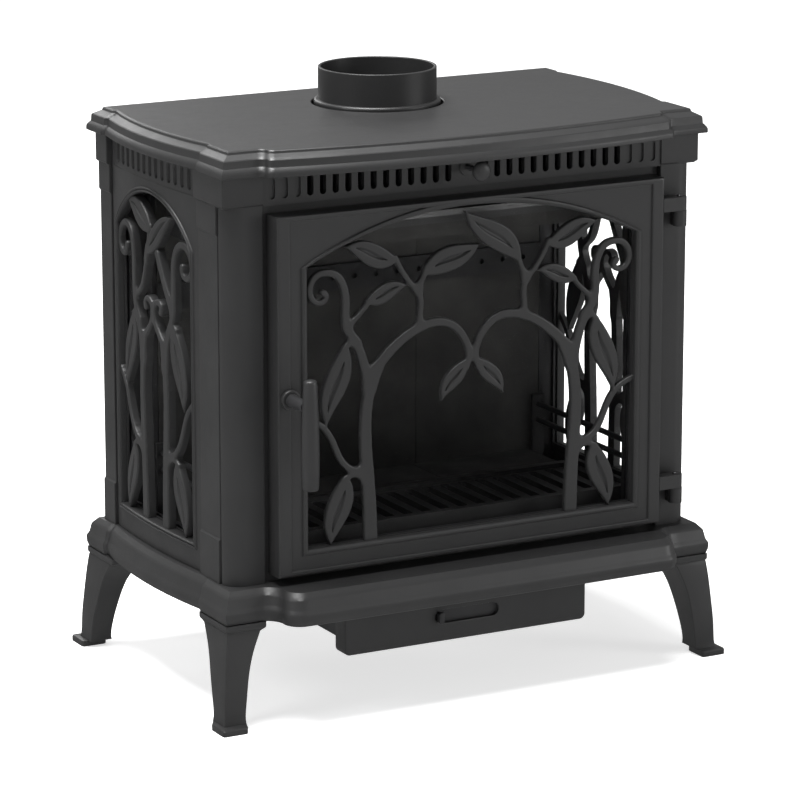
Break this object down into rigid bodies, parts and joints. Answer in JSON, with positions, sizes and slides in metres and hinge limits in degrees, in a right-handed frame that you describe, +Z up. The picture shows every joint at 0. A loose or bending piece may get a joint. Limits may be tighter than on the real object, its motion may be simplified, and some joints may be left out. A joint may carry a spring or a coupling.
{
  "type": "wood burning stove",
  "caption": "Leg-mounted cast-iron wood stove with a glazed tree-fretwork door, side windows, top flue collar, ash drawer and sliding air controls.",
  "frame": {"origin": "on the floor, midway between the four feet and on the body's centre planes", "axes": "+X to the right as seen from the door, the door faces -Y, +Z up along the flue"},
  "size_m": [0.754, 0.5225, 0.792],
  "materials": {
    "black_iron": "matte black stove paint over a fine sand-cast skin",
    "handle_enamel": "satin black, slightly smoother than the body",
    "sheet_steel": "heat-darkened mild steel",
    "machined_steel": "blackened steel",
    "refractory_board": null,
    "glass_ceramic": "clear glass ceramic",
    "rope_gasket": "braided glass-fibre rope"
  },
  "bodies": {
    "stove": {"top_plate": "black_iron", "flue_collar": "black_iron", "collar_bolts": "machined_steel", "base_plate": "black_iron", "leg_front_left": "black_iron", "leg_front_right": "black_iron", "leg_rear_left": "black_iron", "leg_rear_right": "black_iron", "leg_bolts": "machined_steel", "post_front_left": "black_iron", "post_front_right": "black_iron", "post_rear_left": "black_iron", "post_rear_right": "black_iron", "front_frame": "black_iron", "top_grille": "black_iron", "side_panel_left": "black_iron", "side_panel_right": "black_iron", "side_fretwork_left": "black_iron", "side_fretwork_right": "black_iron", "side_glass_left": "glass_ceramic", "side_glass_right": "glass_ceramic", "side_glass_retainer_left": "sheet_steel", "side_glass_retainer_right": "sheet_steel", "back_heat_shield": "sheet_steel", "firebox_back": "sheet_steel", "firebox_top": "sheet_steel", "firebox_floor": "sheet_steel", "back_bricks": "refractory_board", "secondary_air_manifold": "sheet_steel", "brick_retainers": "sheet_steel", "hearth_bricks": "refractory_board", "grate_support": "black_iron", "log_grate": "black_iron", "log_guard_left": "sheet_steel", "log_guard_right": "sheet_steel", "baffle_rails": "sheet_steel", "baffle_plate": "refractory_board", "airwash_duct": "sheet_steel", "hinge_barrels": "black_iron", "hinge_pins": "machined_steel", "latch_keeper": "machined_steel", "ash_housing": "sheet_steel", "drawer_runners": "sheet_steel"},
    "door": {"door_frame": "black_iron", "door_fretwork": "black_iron", "door_glass": "glass_ceramic", "door_glass_retainer": "sheet_steel", "retainer_clips": "sheet_steel", "door_rope_gasket": "rope_gasket", "door_hinge_arms": "black_iron", "handle_boss": "black_iron"},
    "latch": {"latch_spindle": "machined_steel", "latch_cam": "machined_steel", "handle_grip": "handle_enamel"},
    "upper_air": {"upper_air_rod": "machined_steel", "upper_air_knob": "black_iron", "upper_air_shutter": "sheet_steel"},
    "ash_drawer": {"ash_drawer_front": "black_iron", "ash_pan": "sheet_steel"},
    "air_lever": {"primary_air_lever": "sheet_steel"}
  },
  "joints": [
    {"name": "door_swing", "type": "hinge", "parent": "stove", "child": "door", "pos_m": [0.314, -0.205, 0.42], "axis": [0, 0, 1], "range_deg": [0, 110]},
    {"name": "handle_turn", "type": "hinge", "parent": "door", "child": "latch", "pos_m": [-0.268, -0.2155, 0.425], "axis": [0, -1, 0], "range_deg": [0, 90]},
    {"name": "upper_air_pull", "type": "slide", "parent": "stove", "child": "upper_air", "axis": [0, -1, 0], "range_m": [0, 0.03]},
    {"name": "ash_drawer_pull", "type": "slide", "parent": "stove", "child": "ash_drawer", "axis": [0, -1, 0], "range_m": [0, 0.24]},
    {"name": "air_lever_slide", "type": "slide", "parent": "ash_drawer", "child": "air_lever", "axis": [1, 0, 0], "range_m": [0, 0.083]}
  ]
}
